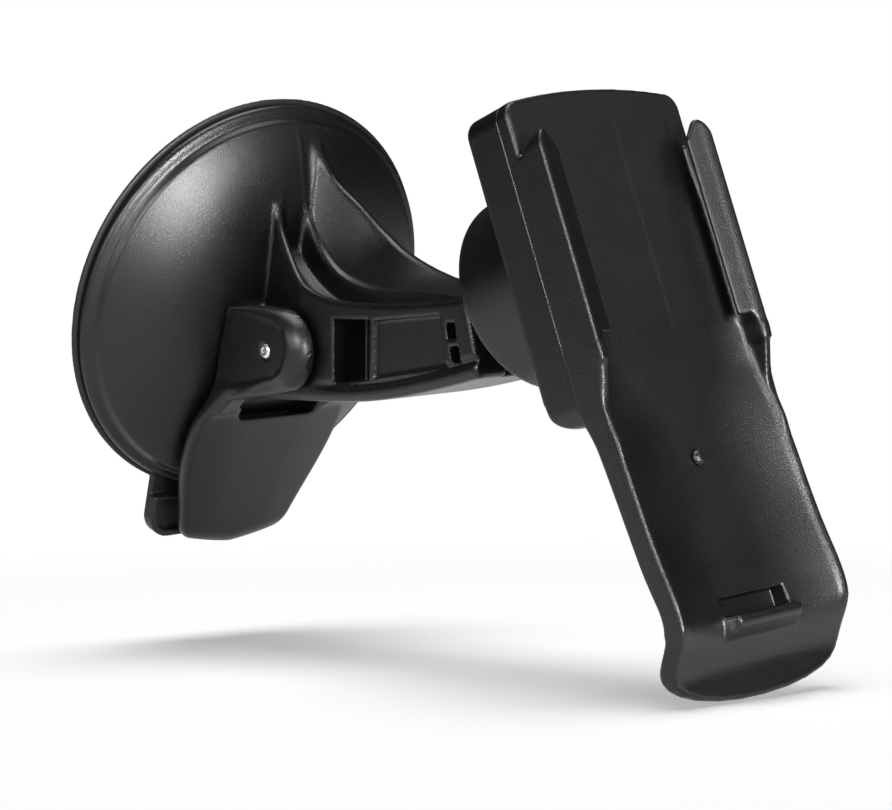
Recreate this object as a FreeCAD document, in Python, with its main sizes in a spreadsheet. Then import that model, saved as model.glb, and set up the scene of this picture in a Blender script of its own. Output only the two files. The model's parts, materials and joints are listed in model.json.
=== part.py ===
import FreeCAD, Part
import math
import os
import Sketcher
from FreeCAD import Placement, Rotation, Vector

# Windscreen suction mount with a cradle for a handheld navigator.
# Row frame, in mm: origin at the centre of the cup's lip plane, +X from the glass towards the
# arm, +Z up with the lever hanging towards -Z, and the pivot pin along Y.

SIZES = {
    # suction cup
    "cup_radius": 42.0, "lip_thickness": 1.3, "lip_inner": 30.0, "recess_depth": 1.0,
    "shoulder_radius": 36.0, "shoulder_top": 3.0, "socket_radius": 21.0, "socket_top": 8.4,
    "cavity_radius": 18.3, "cavity_floor": 2.8, "cavity_top": 7.1,
    "tab_half": 18.0, "tab_end": 51.2, "tab_thickness": 3.2, "tab_corner": 5.0,
    # dome
    "flange_radius": 41.0, "flange_top": 3.0, "flange_inner": 36.6, "dome_top": 15.0, "wall": 2.4,
    "seat_top": 13.95, "seat_inner": 11.2, "seat_outer": 14.4, "seat_low": 9.0, "seat_high": 3.0,
    "sleeve_wall": 2.2,
    # draw post, pin and lever
    "draw_travel": 2.5, "plate_radius": 18.0, "plate_top": 7.05, "plate_thickness": 1.65,
    "post_radius": 4.5, "post_top": 32.2, "bore_gap": 0.06, "rim_gap": 0.3,
    "pin_at": 28.2, "pin_radius": 1.5, "pin_gap": 0.05, "pin_half": 15.9, "slot_gap": 0.1,
    "washer_inner": 11.05, "washer_outer": 11.55, "washer_radius": 4.5,
    "ear_inner": 11.6, "ear_outer": 16.2, "ear_radius": 8.0, "ear_ahead": 2.8, "ear_lift": 1.0,
    "cam_radius": 7.0,
    "cam_back": 7.2, "cam_drop": 1.85, "leg_back": 13.6, "leg_drop": 12.0, "window_drop": 19.2,
    "window_half": 9.6, "window_neck": 16.5,
    "paddle_bottom": 53.5, "paddle_back": 23.7, "paddle_thickness": 3.0, "paddle_half": 12.6,
    "paddle_top_half": 18.4, "paddle_corner": 8.0,
    # arm
    "arm_half": 11.0, "post_cap": 32.5, "valley_half": 6.0,
    "pocket_depth": 2.2, "pocket_deep": 5.0, "boss_radius": 8.0, "neck_angle": 44.0, "boss_face": 12.6,
    # ball joint, measured from the ball's centre
    "ball_x": 89.2, "ball_z": 35.7, "ball_radius": 8.5, "neck_radius": 3.6, "shank_radius": 2.5,
    "shank_end": 24.0, "nut_flats": 8.0, "nut_thickness": 4.0, "nut_at": 17.0, "ball_gap": 0.05,
    "shell_outer": 10.5, "seat_gap": 0.06, "ring_from": 50.0, "ring_to": 74.0, "cup_to": 66.0,
    # head of the cradle, measured from the ball's centre
    "tilt_back": 38.2, "turn": 2.9, "barrel_radius": 18.0, "barrel_back": 8.0, "barrel_bore": 16.25,
    "ring_radius": 16.2, "ring_front": 2.0, "throat": 7.6, "disc_radius": 11.9, "disc_bore": 11.96,
    "disc_back": 6.2, "disc_front": 11.4, "spring_back": 11.45, "spring_front": 12.35,
    "spring_hole": 7.5, "spring_radius": 11.7, "boss_back": 12.4, "block_back": 7.9,
    "block_half": 21.1, "block_top": 27.6, "block_bottom": 29.0, "block_wall": 2.2,
    "block_corner": 4.0,
    # cradle plate
    "plate_back": 16.0, "plate_front": 18.8, "cradle_half": 21.4, "cradle_top": 29.0,
    "cradle_corner": 27.4, "bend": 36.0, "knee": 66.5, "lean": 3.4, "foot_back": 17.3,
    "foot_front": 19.4, "foot_bottom": 79.4, "rail_front": 24.4, "rail_lip": 1.5, "rail_inner": 16.8,
    "rail_wall": 2.0,
    "rail_top": 20.0, "rail_bottom": 18.0, "skirt_front": 21.2, "skirt_bottom": 28.5, "rim_front": 24.9,
    "hook_half": 8.0, "hook_top": 65.6, "hook_thickness": 1.6, "hook_front": 25.1,
    "hook_window": 62.3, "hook_floor": 19.0, "hook_box_back": 18.0, "hook_box_half": 9.2,
    "hook_box_top": 60.8, "hook_box_bottom": 68.0, "panel_half": 12.0, "panel_top": 24.0,
    "panel_thickness": 1.0,
    "panel_gap": 0.1, "stud_drop": 38.0, "stud_radius": 1.35,
    # small screws
    "screw_radius": 1.2, "screw_head": 1.9, "screw_head_height": 1.0, "screw_gap": 0.06,
    "plate_screw_y": 8.5, "plate_screw_z": 20.4, "ring_screw_at": 13.9, "boss_wall": 3.4,
}

doc = FreeCAD.newDocument("navigator_mount")
sheet = doc.addObject("Spreadsheet::Sheet", "Sizes")
for line, (alias, number) in enumerate(SIZES.items(), start=1):
    sheet.set("A%d" % line, alias)
    sheet.set("B%d" % line, str(number))
    sheet.setAlias("B%d" % line, alias)
doc.recompute()

SIDE = Placement(Vector(0, 0, 0), Rotation(Vector(1, 0, 0), 90))
FRONT = Placement(Vector(0, 0, 0), Rotation(Vector(1, 1, 1), 120))
pieces = []


def size(alias):
    return float(sheet.get(alias))


def terms(expression):
    """Split a sum such as "wall + rim_gap" into its signed terms."""
    sign = 1
    for word in expression.split():
        if word in "+-":
            sign = 1 if word == "+" else -1
        else:
            yield sign, word
            sign = 1


def value(expression):
    """The number that a coordinate stands for: a plain number or a sum of sheet cells."""
    if not isinstance(expression, str):
        return float(expression)
    return sum(sign * size(word) for sign, word in terms(expression))


def bound(expression):
    """The same sum, written for setExpression."""
    return " ".join("%s Sizes.%s" % ("+" if sign > 0 else "-", word) for sign, word in terms(expression))


def outline(sketch, corners):
    """Close a loop of lines and arcs; a corner is (x, y) or (x, y, (via_x, via_y))."""
    points = [Vector(value(corner[0]), value(corner[1]), 0) for corner in corners]
    first = sketch.GeometryCount
    for index, corner in enumerate(corners):
        start, end = points[index], points[(index + 1) % len(points)]
        if len(corner) == 3:
            via = Vector(value(corner[2][0]), value(corner[2][1]), 0)
            sketch.addGeometry(arc_through(start, via, end))
        else:
            sketch.addGeometry(Part.LineSegment(start, end))
    ends = [loop_ends(sketch, first + index, points[index]) for index in range(len(corners))]
    for index in range(len(corners)):
        following = (index + 1) % len(corners)
        sketch.addConstraint(Sketcher.Constraint("Coincident", first + index, ends[index][1],
                                                 first + following, ends[following][0]))
    for index, corner in enumerate(corners):
        for kind, place in (("DistanceX", corner[0]), ("DistanceY", corner[1])):
            if isinstance(place, str):
                made = sketch.addConstraint(
                    Sketcher.Constraint(kind, first + index, ends[index][0], value(place)))
                sketch.setExpression("Constraints[%d]" % made, bound(place))


def arc_through(start, via, end):
    """The arc from start to end that passes through via, held anticlockwise as sketches want."""
    center = Part.Arc(start, via, end).toShape().Curve.Center
    circle = Part.Circle(center, Vector(0, 0, 1), (start - center).Length)
    angles = [math.atan2(point.y - center.y, point.x - center.x) for point in (start, via, end)]
    to_via, to_end = ((angle - angles[0]) % (2 * math.pi) for angle in angles[1:])
    if to_via < to_end:
        return Part.ArcOfCircle(circle, angles[0], angles[0] + to_end)
    return Part.ArcOfCircle(circle, angles[2], angles[2] + 2 * math.pi - to_end)


def loop_ends(sketch, index, start):
    """Which end of a curve starts the loop's stretch: 1 is its first point and 2 its last."""
    curve = sketch.Geometry[index]
    if curve.StartPoint.distanceToPoint(start) < curve.EndPoint.distanceToPoint(start):
        return 1, 2
    return 2, 1


def new_body(label):
    body = doc.addObject("PartDesign::Body", label)
    body.Label = label
    return body


def sketch_in(body, role, *loops, shift=0.0):
    plane = next(item for item in body.Origin.OriginFeatures if item.Role == role)
    sketch = body.newObject("Sketcher::SketchObject", "profile")
    sketch.AttachmentSupport = [(plane, "")]
    sketch.MapMode = "FlatFace"
    sketch.AttachmentOffset = Placement(Vector(0, 0, shift), Rotation())
    for loop in loops:
        outline(sketch, loop)
    return sketch


def revolve(body, corners, kind="PartDesign::Revolution"):
    """Turn a side profile about the body's X axis, to add or to cut."""
    sketch = sketch_in(body, "XZ_Plane", corners)
    feature = body.newObject(kind, "turned")
    feature.Profile = sketch
    feature.ReferenceAxis = (sketch, ["H_Axis"])
    feature.Angle = 360
    doc.recompute()
    return feature


def pad(body, role, corners, length, midplane=True, shift=0.0, kind="PartDesign::Pad", back=False):
    """Pad or pocket a profile by a length given as a sum of sheet cells."""
    sketch = sketch_in(body, role, corners, shift=shift)
    feature = body.newObject(kind, "extruded")
    feature.Profile = sketch
    feature.Midplane = midplane
    feature.Reversed = back
    feature.Length = value(length)
    feature.setExpression("Length", bound(length))
    doc.recompute()
    return feature


def hole_grid(body, spots, radius, depth, back=False, shift=0.0):
    """Round pockets along X at (y, z) spots."""
    sketch = sketch_in(body, "YZ_Plane", shift=shift)
    for index, (y, z) in enumerate(spots):
        sketch.addGeometry(Part.Circle(Vector(y, z, 0), Vector(0, 0, 1), value(radius)))
        made = sketch.addConstraint(Sketcher.Constraint("Radius", index, value(radius)))
        sketch.setExpression("Constraints[%d]" % made, bound(radius))
    feature = body.newObject("PartDesign::Pocket", "holes_cut")
    feature.Profile = sketch
    feature.Reversed = back
    feature.Length = depth
    doc.recompute()
    return feature


def keep(piece, label, pose=None):
    """Name a finished piece and set where it stands."""
    piece.Label = label
    if pose is not None:
        piece.Placement = pose.multiply(piece.Placement)
    pieces.append((piece, label))
    return piece


def slab(name, low, high):
    """A box between two corners given as sums of sheet cells."""
    box = doc.addObject("Part::Box", name)
    for axis, side in enumerate(("Length", "Width", "Height")):
        setattr(box, side, value(high[axis]) - value(low[axis]))
        if isinstance(high[axis], str) and isinstance(low[axis], str):
            box.setExpression(side, "%s - (%s)" % (bound(high[axis]), bound(low[axis])))
    box.Placement.Base = Vector(*[value(place) for place in low])
    return box


def joined(name, parts):
    group = doc.addObject("Part::MultiFuse", name)
    group.Shapes = parts
    return group


def cut(name, base, tool):
    piece = doc.addObject("Part::Cut", name)
    piece.Base = base
    piece.Tool = tool
    return piece


def common(name, parts):
    piece = doc.addObject("Part::MultiCommon", name)
    piece.Shapes = parts
    return piece


def extruded(name, pose, corners, low, high):
    """Part extrusion of a free profile from low to high along the profile's normal."""
    sketch = doc.addObject("Sketcher::SketchObject", name + "_profile")
    sketch.Placement = pose.multiply(Placement(Vector(0, 0, value(low)), Rotation()))
    outline(sketch, corners)
    solid = doc.addObject("Part::Extrusion", name)
    solid.Base = sketch
    solid.DirMode = "Normal"
    solid.Solid = True
    solid.LengthFwd = value(high) - value(low)
    return solid


def rod(name, radius, start, end):
    """A cylinder between two points."""
    axis = end - start
    cylinder = doc.addObject("Part::Cylinder", name)
    cylinder.Radius = value(radius)
    if isinstance(radius, str):
        cylinder.setExpression("Radius", bound(radius))
    cylinder.Height = axis.Length
    cylinder.Placement = Placement(start, Rotation(Vector(0, 0, 1), axis))
    return cylinder


def polar(radius, degrees):
    angle = math.radians(degrees)
    return radius * math.cos(angle), radius * math.sin(angle)


def dome_height(radius):
    """Height of the dome's outer surface above the glass at a distance from its axis."""
    rise = size("dome_top") - size("flange_top")
    return size("flange_top") + rise * (1 - (radius / size("flange_radius")) ** 2)


# ---- suction cup ----

def suction_membrane():
    body = new_body("suction_membrane")
    revolve(body, [
        ("recess_depth", 0), ("cavity_floor", 0), ("cavity_floor", "cavity_radius"),
        ("cavity_top", "cavity_radius"), ("cavity_top", "post_radius + rim_gap + rim_gap"),
        ("socket_top", "post_radius + rim_gap + rim_gap"), ("socket_top", "socket_radius"),
        ("shoulder_top", "socket_radius"), ("shoulder_top", "shoulder_radius"),
        ("lip_thickness", "shoulder_radius"), ("lip_thickness", "cup_radius"),
        (0, "cup_radius"), (0, "lip_inner")])
    half, end, corner = size("tab_half"), size("tab_end"), size("tab_corner")
    top = -size("shoulder_radius") - 2
    pad(body, "YZ_Plane", [
        (-half, top), (-half, corner - end, (0.3 * corner - half, 0.3 * corner - end)),
        (corner - half, -end), (half - corner, -end, (half - 0.3 * corner, 0.3 * corner - end)),
        (half, corner - end), (half, top)], "lip_thickness", midplane=False)
    tip = pad(body, "YZ_Plane", [
        (-half, -size("cup_radius") - 1), (-half, corner - end, (0.3 * corner - half, 0.3 * corner - end)),
        (corner - half, -end), (half - corner, -end, (half - 0.3 * corner, 0.3 * corner - end)),
        (half, corner - end), (half, -size("cup_radius") - 1)], "tab_thickness", midplane=False)
    body.Tip = tip
    return keep(body, "suction_membrane")


def dome_profile(name, drop):
    """Solid of revolution under the dome's surface, lowered by drop."""
    edge = size("flange_radius") if drop == 0 else size("flange_inner")
    low = size("lip_thickness") if drop == 0 else 0.0
    half_way = edge / math.sqrt(2)
    corners = [(low, 0), (low, edge)]
    if drop == 0:
        corners += [("flange_top", edge, (dome_height(half_way), half_way))]
    else:
        corners += [(dome_height(edge) - drop, edge, (dome_height(half_way) - drop, half_way))]
    corners += [(dome_height(0) - drop, 0)]
    sketch = doc.addObject("Sketcher::SketchObject", name + "_profile")
    sketch.Placement = SIDE
    outline(sketch, corners)
    solid = doc.addObject("Part::Revolution", name)
    solid.Source = sketch
    solid.Axis = Vector(1, 0, 0)
    solid.Angle = 360
    solid.Solid = True
    return solid


def arm_side(name, low, high, crest):
    """A slice of the arm between two Y planes; crest is the outline of its upper edge."""
    under = [(6, -18.0), (13, -16.3, (51.9, -1.9)), (84.0, 16.0)]
    return extruded(name, SIDE, under + crest, low, high)


def arm():
    """The sculpted arm: side slices with fins that run up the dome, and a valley between them."""
    near_crest = [(76.5, 28.4, (58, 20.6)), (40, 13.2, (27.0, 14.2)), (13.5, 24.2), (6, 24.2)]
    valley_crest = [(76.5, 26.4, (58, 18.0)), (40, 10.4, (23, 9.7)), (13.0, 16.0), (6, 16.0)]
    far_crest = [(76.5, 28.6, (58, 22.4)), (44, 20.6, (24.0, 24.0)), (7.0, 34.2), (4, 34.2)]
    half, valley = size("arm_half"), size("valley_half")
    return [arm_side("arm_near", valley, half, near_crest),
            arm_side("arm_valley", -valley + 4, valley, valley_crest),
            arm_side("arm_far", -half, -valley + 4, far_crest)]


def neck_point(distance):
    """A point on the neck's line, at a distance from the ball's centre towards the arm."""
    angle = math.radians(size("neck_angle"))
    return Vector(size("ball_x") - distance * math.cos(angle), 0,
                  size("ball_z") - distance * math.sin(angle))


def base_dome():
    outer = dome_profile("dome_outer", 0)
    seats = [slab("seat", ("flange_top", value("seat_inner") if side > 0 else -value("seat_outer"),
                           -value("seat_low")),
                  ("seat_top", value("seat_outer") if side > 0 else -value("seat_inner"),
                   value("seat_high")))
             for side in (1, -1)]
    boss = rod("stud_boss", "boss_radius", neck_point(26), neck_point(size("boss_face")))
    solid = joined("dome_and_arm", [outer] + seats + arm() + [boss])
    hollow = dome_profile("dome_hollow", size("wall"))
    sleeve = cut("sleeve", rod("sleeve_outside", "post_radius + sleeve_wall",
                               Vector(size("socket_top") + 0.3, 0, 0), Vector(14, 0, 0)),
                 rod("sleeve_inside", "post_radius + bore_gap", Vector(5, 0, 0), Vector(20, 0, 0)))
    bore = rod("post_bore", "post_radius + bore_gap", Vector(6, 0, 0), Vector(size("post_cap"), 0, 0))
    reach = size("arm_half") + 1
    travel = size("draw_travel")
    slots = [rod("slot_end", "pin_radius + slot_gap", Vector(size("pin_at") - shift, -reach, 0),
                 Vector(size("pin_at") - shift, reach, 0)) for shift in (0, travel)]
    slot = slab("slot_middle", (size("pin_at") - travel, -reach, -size("pin_radius") - size("slot_gap")),
                (size("pin_at"), reach, size("pin_radius") + size("slot_gap")))
    shank = rod("shank_hole", "shank_radius + pin_gap", neck_point(size("shank_end") + 1),
                neck_point(size("boss_face") - 1))
    nut_slot = nut_pocket()
    pockets = side_pockets()
    tools = joined("dome_tools", [hollow, bore, slot] + slots + [shank, nut_slot] + pockets)
    carved = cut("dome_carved", solid, tools)
    return keep(joined("base_dome", [carved, sleeve]), "base_dome")


def nut_pocket():
    """A slot from the arm's underside that holds the stud's nut against turning."""
    half = size("nut_flats") / 2 + 0.05
    thick = size("nut_thickness") + 0.2
    box = doc.addObject("Part::Box", "nut_slot")
    box.Length = thick
    box.Width = 2 * half
    box.Height = 22
    turn = Rotation(Vector(0, 1, 0), -size("neck_angle"))
    start = neck_point(size("nut_at") + thick / 2)
    box.Placement = Placement(start, turn).multiply(Placement(Vector(0, -half, half - 22 + 0.7), Rotation()))
    return box


def side_pockets():
    """A deep window and a shallower panel in each side face of the arm."""
    half = size("arm_half")
    deep = [(44.4, 0.4), (41.6, 10.8), (51.6, 14.4), (54.2, 4.4)]
    panel = [(54.2, 4.4), (51.6, 14.4), (70.0, 22.4), (73.6, 15.4)]
    made = []
    for side in (1, -1):
        for name, corners, depth in (("deep", deep, "pocket_deep"), ("panel", panel, "pocket_depth")):
            low, high = (half - size(depth), half + 1)
            if side < 0:
                low, high = -high, -low
            made.append(extruded("pocket_" + name, SIDE, corners, low, high))
    return made


# ---- draw post, pin and lever ----

def draw_plate():
    body = new_body("draw_plate")
    revolve(body, [
        ("plate_top - plate_thickness", "post_radius - plate_thickness"),
        ("plate_top", "post_radius - plate_thickness"),
        ("plate_top", "plate_radius"), ("plate_top - plate_thickness", "plate_radius")])
    return keep(body, "draw_plate")


def draw_post():
    body = new_body("draw_post")
    revolve(body, [
        ("plate_top - plate_thickness", 0),
        ("plate_top - plate_thickness", "post_radius - plate_thickness - bore_gap"),
        ("plate_top + bore_gap", "post_radius - plate_thickness - bore_gap"),
        ("plate_top + bore_gap", "post_radius"), ("post_top", "post_radius"), ("post_top", 0)])
    hole = body.newObject("PartDesign::SubtractiveCylinder", "pin_eye")
    hole.Radius = value("pin_radius + pin_gap")
    hole.setExpression("Radius", bound("pin_radius + pin_gap"))
    hole.Height = 4 * size("post_radius")
    hole.Placement = Placement(Vector(size("pin_at"), 2 * size("post_radius"), 0),
                               Rotation(Vector(1, 0, 0), 90))
    doc.recompute()
    return keep(body, "draw_post")


def pivot_pin():
    half = size("pin_half")
    pin = rod("pivot_pin", "pin_radius", Vector(size("pin_at"), -half, 0), Vector(size("pin_at"), half, 0))
    return keep(pin, "pivot_pin")


def thrust_washers():
    rings = []
    for side in (1, -1):
        inner, outer = side * size("washer_inner"), side * size("washer_outer")
        start, end = (Vector(size("pin_at"), y, 0) for y in (inner, outer))
        disc = rod("washer_disc", "washer_radius", start, end)
        reach = Vector(0, side, 0)
        hole = rod("washer_hole", "pin_radius + pin_gap", start - reach, end + reach)
        rings.append(cut("washer", disc, hole))
    group = doc.addObject("Part::Compound", "thrust_washers")
    group.Links = rings
    return keep(group, "thrust_washers")


def cam_lever():
    """One moulding: two ears with cam lobes that bear on the dome's seats, and the paddle below."""
    pin, drop, thick = size("pin_at"), size("cam_drop"), size("paddle_thickness")
    cam, ear = size("cam_radius"), size("ear_radius")
    cam_x = pin - size("cam_back")
    ear_x, ear_z = pin + size("ear_ahead"), size("ear_lift")
    high_x, high_z = polar(cam, 104)
    lobe_x, lobe_z = polar(cam, 130)
    crest_x, crest_z = polar(ear, 101)
    chin_x, chin_z = polar(ear, -76)
    side = extruded("lever_side", SIDE, [
        (cam_x - cam, -drop, (cam_x + lobe_x, lobe_z - drop)),
        (cam_x + high_x, high_z - drop),
        (ear_x + crest_x, ear_z + crest_z, (ear_x + ear, ear_z)),
        (ear_x + chin_x, ear_z + chin_z),
        (pin + 0.8, -ear + 0.4),
        (pin - size("leg_back") + thick, -size("leg_drop") - 1.0),
        (pin - size("paddle_back") + thick, -size("paddle_bottom")),
        (pin - size("paddle_back"), -size("paddle_bottom")),
        (pin - size("leg_back"), -size("leg_drop"))],
        -size("paddle_top_half"), "paddle_top_half")
    half, low, tip, corner = (size(name) for name in
                              ("paddle_top_half", "paddle_bottom", "paddle_half", "paddle_corner"))
    wide, top = size("ear_outer"), ear_z + ear + 0.5
    face = extruded("lever_face", FRONT, [
        (-wide, top), (-wide, -13.0), (-half, -20.0), (-half + 0.8, -30.0),
        (-tip - 1.4, corner - low, (-tip + 1.2, 1.9 - low)), (-tip + corner - 1.0, -low),
        (tip - corner + 1.0, -low, (tip - 1.2, 1.9 - low)), (tip + 1.4, corner - low),
        (half - 0.8, -30.0), (half, -20.0), (wide, -13.0), (wide, top)], 0, 40)
    inner, neck, sill = size("window_half"), size("window_neck"), size("window_drop")
    gap = slab("lever_window", (0, -size("ear_inner"), -neck), (40, size("ear_inner"), 20))
    slot = slab("lever_slot", (0, -inner, -sill), (40, inner, 0))
    hole = rod("lever_hole", "pin_radius", Vector(pin, -20, 0), Vector(pin, 20, 0))
    blank = common("lever_blank", [side, face])
    return keep(cut("cam_lever", blank, joined("lever_tools", [gap, slot, hole])), "cam_lever")


# ---- ball stud ----

def ball_stud():
    ball = doc.addObject("Part::Sphere", "ball")
    ball.Radius = size("ball_radius")
    ball.setExpression("Radius", bound("ball_radius"))
    ball.Placement.Base = neck_point(0)
    neck = rod("neck", "neck_radius", neck_point(size("boss_face")), neck_point(2))
    shank = rod("shank", "shank_radius", neck_point(size("shank_end")), neck_point(size("boss_face") - 0.5))
    return keep(joined("ball_stud", [ball, neck, shank]), "ball_stud")


def stud_nut():
    nut = doc.addObject("Part::Prism", "nut_blank")
    nut.Polygon = 6
    nut.Circumradius = size("nut_flats") / math.sqrt(3)
    nut.setExpression("Circumradius", "Sizes.nut_flats / sqrt(3)")
    nut.Height = size("nut_thickness")
    nut.setExpression("Height", "Sizes.nut_thickness")
    low = neck_point(size("nut_at") + size("nut_thickness") / 2)
    axis = neck_point(0) - low
    nut.Placement = Placement(low, Rotation(Vector(0, 0, 1), axis))
    hole = rod("nut_hole", "shank_radius + pin_gap", neck_point(size("nut_at") + 8),
               neck_point(size("nut_at") - 8))
    return keep(cut("stud_nut", nut, hole), "stud_nut")


# ---- head: socket and friction parts, drawn about the ball's centre with +X out of the cradle ----

HEAD = Placement(neck_point(0), Rotation(Vector(0, 0, 1), size("turn")) *
                 Rotation(Vector(0, 1, 0), -size("tilt_back")))


def ball_shell(label, start, end):
    """A spherical zone around the ball, between two angles from the +X axis."""
    inner, outer = size("ball_radius") + size("ball_gap"), size("shell_outer")
    middle = (start + end) / 2
    body = new_body(label)
    if start == 0:
        corners = [(inner, 0), (outer, 0, polar(outer, middle))]
    else:
        corners = [polar(inner, start), polar(outer, start) + (polar(outer, middle),)]
    corners += [polar(outer, end), polar(inner, end) + (polar(inner, middle),)]
    revolve(body, corners)
    return keep(body, label, HEAD)


def retaining_ring():
    body = new_body("retaining_ring")
    seat, throat, front = size("shell_outer") + size("seat_gap"), size("throat"), size("ring_front")
    edge = -math.sqrt(seat ** 2 - throat ** 2)
    revolve(body, [
        (-size("barrel_back"), "throat"), (edge, throat, (0 - seat * 0.5, seat * math.sqrt(0.75))),
        (0, seat), (front, seat), ("ring_front", "ring_radius"), (-size("barrel_back"), "ring_radius")])
    hole_grid(body, ring_screw_spots(), "screw_radius + screw_gap", 30, back=True, shift=-20.0)
    hole_grid(body, ring_screw_spots(), "screw_head + screw_gap", size("screw_head_height") + 0.1,
              back=True, shift=-size("barrel_back"))
    return keep(body, "retaining_ring", HEAD)


def ring_screw_spots():
    return [polar(size("ring_screw_at"), angle) for angle in (90, 210, 330)]


def screws(label, spots, seat, length, hand):
    """Pan-head screws along X, as one node of separate solids; the heads stand off seat by hand."""
    made = []
    for y, z in spots:
        start = Vector(seat, y, z)
        head = rod("head", "screw_head", start, start + Vector(hand * size("screw_head_height"), 0, 0))
        shank = rod("shank", "screw_radius", start, start - Vector(hand * length, 0, 0))
        made.append(joined("screw", [head, shank]))
    group = doc.addObject("Part::Compound", label)
    group.Links = made
    return keep(group, label, HEAD)


def rounded(left, right, low, high, corner):
    """A rectangle with rounded corners, as outline corners."""
    short = 0.3 * corner
    return [
        (left, low + corner, (left + short, low + short)), (left + corner, low),
        (right - corner, low, (right - short, low + short)), (right, low + corner),
        (right, high - corner, (right - short, high - short)), (right - corner, high),
        (left + corner, high, (left + short, high - short)), (left, high - corner)]


def socket_housing():
    """The barrel round the ball and the hollow block behind the plate, moulded in one."""
    body = new_body("socket_housing")
    half, top, bottom = size("block_half"), size("block_top"), size("block_bottom")
    wall, floor = size("block_wall"), size("block_back")
    pad(body, "YZ_Plane", rounded(-half, half, -bottom, top, size("block_corner")),
        "plate_back - block_back", midplane=False, shift=floor)
    revolve(body, [
        (-size("barrel_back"), 0), (-size("barrel_back"), "barrel_radius"),
        ("block_back + block_wall", "barrel_radius"), ("block_back + block_wall", 0)])
    inner = half - wall
    pad(body, "YZ_Plane", [
        (-inner, wall - bottom), (inner, wall - bottom), (inner, top - wall), (-inner, top - wall)],
        "plate_back - block_back - block_wall", midplane=False, shift=floor + wall,
        kind="PartDesign::Pocket", back=True)
    cap = size("boss_back") - 0.2
    revolve(body, [
        ("block_back", 0), ("block_back", "disc_bore + boss_wall"), (cap, "disc_bore + boss_wall"), (cap, 0)])
    screw_posts(body, plate_screw_spots(), floor + 1.0, size("plate_back") - floor - 1.0)
    step, front = size("ring_front") + 0.05, size("boss_back") + 1
    revolve(body, [
        (-size("barrel_back") - 1, 0), (-size("barrel_back") - 1, "barrel_bore"), (step, "barrel_bore"),
        (step, "disc_bore"), (front, "disc_bore"), (front, 0)], "PartDesign::Groove")
    hole_grid(body, plate_screw_spots(), "screw_radius + screw_gap", 6.6, shift=size("plate_back"))
    hole_grid(body, ring_screw_spots(), "screw_radius + screw_gap", 7.0, back=True,
              shift=size("ring_front"))
    return keep(body, "socket_housing", HEAD)


def screw_posts(body, spots, floor, height):
    """Round posts inside the block that the plate's screws bite into."""
    for y, z in spots:
        post = sketch_in(body, "YZ_Plane", shift=floor)
        post.addGeometry(Part.Circle(Vector(y, z, 0), Vector(0, 0, 1), size("boss_wall") - 0.4))
        feature = body.newObject("PartDesign::Pad", "screw_post")
        feature.Profile = post
        feature.Length = height
        doc.recompute()


def backing_disc():
    body = new_body("backing_disc")
    seat = size("shell_outer") + size("seat_gap")
    back = size("disc_back")
    wide = math.sqrt(seat ** 2 - back ** 2)
    mid = polar(seat, math.degrees(math.atan2(wide, back)) / 2)
    revolve(body, [
        ("disc_back", wide, mid), (seat, 0), ("disc_front", 0), ("disc_front", "disc_radius"),
        ("disc_back", "disc_radius")])
    return keep(body, "backing_disc", HEAD)


def wave_washer():
    body = new_body("wave_washer")
    revolve(body, [
        ("spring_back", "spring_hole"), ("spring_front", "spring_hole"),
        ("spring_front", "spring_radius"), ("spring_back", "spring_radius")])
    return keep(body, "wave_washer", HEAD)


# ---- cradle ----

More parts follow.
